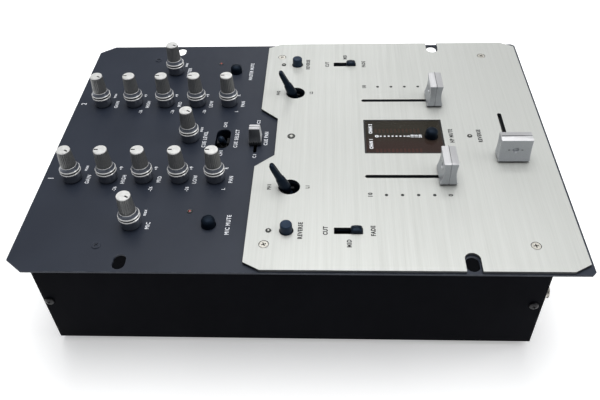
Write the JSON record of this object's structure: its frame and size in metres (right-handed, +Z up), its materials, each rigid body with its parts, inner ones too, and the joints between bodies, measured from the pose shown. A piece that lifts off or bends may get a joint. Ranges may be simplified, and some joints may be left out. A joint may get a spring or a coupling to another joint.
{
  "type": "dj mixer",
  "caption": "Slim battle-style DJ mixer: dark rear plate with rotary knobs, brushed front plate with faders, transform levers and a level meter, on a black steel case.",
  "frame": {"origin": "centre of the footprint, on the surface that the rubber feet stand on", "axes": "+X to the user's right, +Y away from the user towards the rear sockets, +Z up"},
  "size_m": [0.254, 0.3556, 0.1211],
  "materials": {
    "slate_plate": "satin slate enamel with a fine grain",
    "brushed_plate": "clear anodised, brushed from side to side",
    "black_steel": "fine textured black powder coat",
    "circuit_board": "green solder mask",
    "smoked_window": "smoked, glossy",
    "nickel": "nickel plate",
    "zinc": "bright zinc",
    "socket_plastic": "moulded, semi-matt",
    "red_lens": "clear coloured epoxy",
    "clear_lens": "water-clear epoxy",
    "black_screw": "black oxide",
    "foot_rubber": "matt moulded rubber",
    "knob_grey": "fine ribbed grip with a bright top",
    "cap_silver": "satin silver paint on a moulded cap",
    "key_rubber": "satin moulded key",
    "switch_plastic": "moulded, satin"
  },
  "bodies": {
    "chassis": {"faceplate": "slate_plate", "overlay_plate": "brushed_plate", "base_cover": "black_steel", "front_panel": "black_steel", "rear_panel": "black_steel", "front_foot_1": "foot_rubber", "front_foot_2": "foot_rubber", "rear_foot_1": "foot_rubber", "rear_foot_2": "foot_rubber", "rear_screw_1": "black_screw", "rear_screw_2": "black_screw", "middle_screw_1": "nickel", "middle_screw_2": "nickel", "front_screw_1": "nickel", "front_screw_2": "nickel", "control_board": "circuit_board", "meter_board": "circuit_board", "meter_window": "smoked_window", "fader_track_1": "zinc", "fader_track_2": "zinc", "crossfader_track": "zinc", "mic_mute_led": "red_lens", "master_mute_led": "red_lens", "reverse_led_1": "clear_lens", "reverse_led_2": "clear_lens", "power_led": "clear_lens", "crossfader_led": "clear_lens", "headphone_jack": "nickel", "mic_jack": "nickel", "input_jack_block": "socket_plastic", "output_jack_block": "socket_plastic", "power_module": "socket_plastic"},
    "gain_knob_1": {"gain_knob_1": "knob_grey"},
    "high_knob_1": {"high_knob_1": "knob_grey"},
    "mid_knob_1": {"mid_knob_1": "knob_grey"},
    "low_knob_1": {"low_knob_1": "knob_grey"},
    "pan_knob_1": {"pan_knob_1": "knob_grey"},
    "gain_knob_2": {"gain_knob_2": "knob_grey"},
    "high_knob_2": {"high_knob_2": "knob_grey"},
    "mid_knob_2": {"mid_knob_2": "knob_grey"},
    "low_knob_2": {"low_knob_2": "knob_grey"},
    "pan_knob_2": {"pan_knob_2": "knob_grey"},
    "mic_knob": {"mic_knob": "knob_grey"},
    "master_knob": {"master_knob": "knob_grey"},
    "cue_level_knob": {"cue_level_knob": "knob_grey"},
    "cue_pan_slider": {"cue_pan_slider": "cap_silver"},
    "cue_select_lever": {"cue_select_lever": "switch_plastic"},
    "transform_lever_1": {"transform_lever_1": "switch_plastic"},
    "mode_switch_1": {"mode_switch_1": "switch_plastic"},
    "reverse_button_1": {"reverse_button_1": "key_rubber"},
    "channel_fader_1": {"channel_fader_1": "cap_silver"},
    "transform_lever_2": {"transform_lever_2": "switch_plastic"},
    "mode_switch_2": {"mode_switch_2": "switch_plastic"},
    "reverse_button_2": {"reverse_button_2": "key_rubber"},
    "channel_fader_2": {"channel_fader_2": "cap_silver"},
    "crossfader": {"crossfader": "cap_silver"},
    "mic_mute_button": {"mic_mute_button": "key_rubber"},
    "master_mute_button": {"master_mute_button": "key_rubber"},
    "phones_mute_button": {"phones_mute_button": "key_rubber"},
    "power_rocker": {"power_rocker": "switch_plastic"}
  },
  "joints": [
    {"name": "gain_knob_1_turn", "type": "hinge", "parent": "chassis", "child": "gain_knob_1", "pos_m": [-0.0435, 0.1566, 0.095], "axis": [0, 0, -1], "range_deg": [0, 300]},
    {"name": "high_knob_1_turn", "type": "hinge", "parent": "chassis", "child": "high_knob_1", "pos_m": [-0.0435, 0.1317, 0.095], "axis": [0, 0, -1], "range_deg": [-150, 150]},
    {"name": "mid_knob_1_turn", "type": "hinge", "parent": "chassis", "child": "mid_knob_1", "pos_m": [-0.0435, 0.1068, 0.095], "axis": [0, 0, -1], "range_deg": [-150, 150]},
    {"name": "low_knob_1_turn", "type": "hinge", "parent": "chassis", "child": "low_knob_1", "pos_m": [-0.0435, 0.0819, 0.095], "axis": [0, 0, -1], "range_deg": [-150, 150]},
    {"name": "pan_knob_1_turn", "type": "hinge", "parent": "chassis", "child": "pan_knob_1", "pos_m": [-0.0435, 0.057, 0.095], "axis": [0, 0, -1], "range_deg": [-150, 150]},
    {"name": "gain_knob_2_turn", "type": "hinge", "parent": "chassis", "child": "gain_knob_2", "pos_m": [0.0435, 0.1566, 0.095], "axis": [0, 0, -1], "range_deg": [0, 300]},
    {"name": "high_knob_2_turn", "type": "hinge", "parent": "chassis", "child": "high_knob_2", "pos_m": [0.0435, 0.1317, 0.095], "axis": [0, 0, -1], "range_deg": [-150, 150]},
    {"name": "mid_knob_2_turn", "type": "hinge", "parent": "chassis", "child": "mid_knob_2", "pos_m": [0.0435, 0.1068, 0.095], "axis": [0, 0, -1], "range_deg": [-150, 150]},
    {"name": "low_knob_2_turn", "type": "hinge", "parent": "chassis", "child": "low_knob_2", "pos_m": [0.0435, 0.0819, 0.095], "axis": [0, 0, -1], "range_deg": [-150, 150]},
    {"name": "pan_knob_2_turn", "type": "hinge", "parent": "chassis", "child": "pan_knob_2", "pos_m": [0.0435, 0.057, 0.095], "axis": [0, 0, -1], "range_deg": [-150, 150]},
    {"name": "mic_knob_turn", "type": "hinge", "parent": "chassis", "child": "mic_knob", "pos_m": [-0.0875, 0.106, 0.095], "axis": [0, 0, -1], "range_deg": [0, 300]},
    {"name": "master_knob_turn", "type": "hinge", "parent": "chassis", "child": "master_knob", "pos_m": [0.0875, 0.106, 0.095], "axis": [0, 0, -1], "range_deg": [0, 300]},
    {"name": "cue_level_knob_turn", "type": "hinge", "parent": "chassis", "child": "cue_level_knob", "pos_m": [0, 0.081, 0.095], "axis": [0, 0, -1], "range_deg": [0, 300]},
    {"name": "cue_pan_slider_slide", "type": "slide", "parent": "chassis", "child": "cue_pan_slider", "axis": [1, 0, 0], "range_m": [-0.009, 0.017]},
    {"name": "cue_select_lever_tilt", "type": "hinge", "parent": "chassis", "child": "cue_select_lever", "pos_m": [0, 0.057, 0.091], "axis": [0, 1, 0], "range_deg": [0, 76]},
    {"name": "transform_lever_1_tilt", "type": "hinge", "parent": "chassis", "child": "transform_lever_1", "pos_m": [-0.054, 0.0057, 0.091], "axis": [1, 0, 0], "range_deg": [0, 47]},
    {"name": "mode_switch_1_slide", "type": "slide", "parent": "chassis", "child": "mode_switch_1", "axis": [0, 1, 0], "range_m": [0, 0.01]},
    {"name": "reverse_button_1_push", "type": "slide", "parent": "chassis", "child": "reverse_button_1", "axis": [0, 0, -1], "range_m": [0, 0.0018], "stiffness_N_per_m": 800},
    {"name": "channel_fader_1_slide", "type": "slide", "parent": "chassis", "child": "channel_fader_1", "axis": [0, 1, 0], "range_m": [0, 0.052]},
    {"name": "transform_lever_2_tilt", "type": "hinge", "parent": "chassis", "child": "transform_lever_2", "pos_m": [0.054, 0.0057, 0.091], "axis": [1, 0, 0], "range_deg": [0, 47]},
    {"name": "mode_switch_2_slide", "type": "slide", "parent": "chassis", "child": "mode_switch_2", "axis": [0, 1, 0], "range_m": [0, 0.01]},
    {"name": "reverse_button_2_push", "type": "slide", "parent": "chassis", "child": "reverse_button_2", "axis": [0, 0, -1], "range_m": [0, 0.0018], "stiffness_N_per_m": 800},
    {"name": "channel_fader_2_slide", "type": "slide", "parent": "chassis", "child": "channel_fader_2", "axis": [0, 1, 0], "range_m": [0, 0.052]},
    {"name": "crossfader_slide", "type": "slide", "parent": "chassis", "child": "crossfader", "axis": [1, 0, 0], "range_m": [0, 0.048]},
    {"name": "mic_mute_button_push", "type": "slide", "parent": "chassis", "child": "mic_mute_button", "axis": [0, 0, -1], "range_m": [0, 0.0018], "stiffness_N_per_m": 800},
    {"name": "master_mute_button_push", "type": "slide", "parent": "chassis", "child": "master_mute_button", "axis": [0, 0, -1], "range_m": [0, 0.0018], "stiffness_N_per_m": 800},
    {"name": "phones_mute_button_push", "type": "slide", "parent": "chassis", "child": "phones_mute_button", "axis": [0, 0, -1], "range_m": [0, 0.0018], "stiffness_N_per_m": 800},
    {"name": "power_rocker_tilt", "type": "hinge", "parent": "chassis", "child": "power_rocker", "pos_m": [0.091, 0.1709, 0.049], "axis": [-1, 0, 0], "range_deg": [0, 8]}
  ]
}
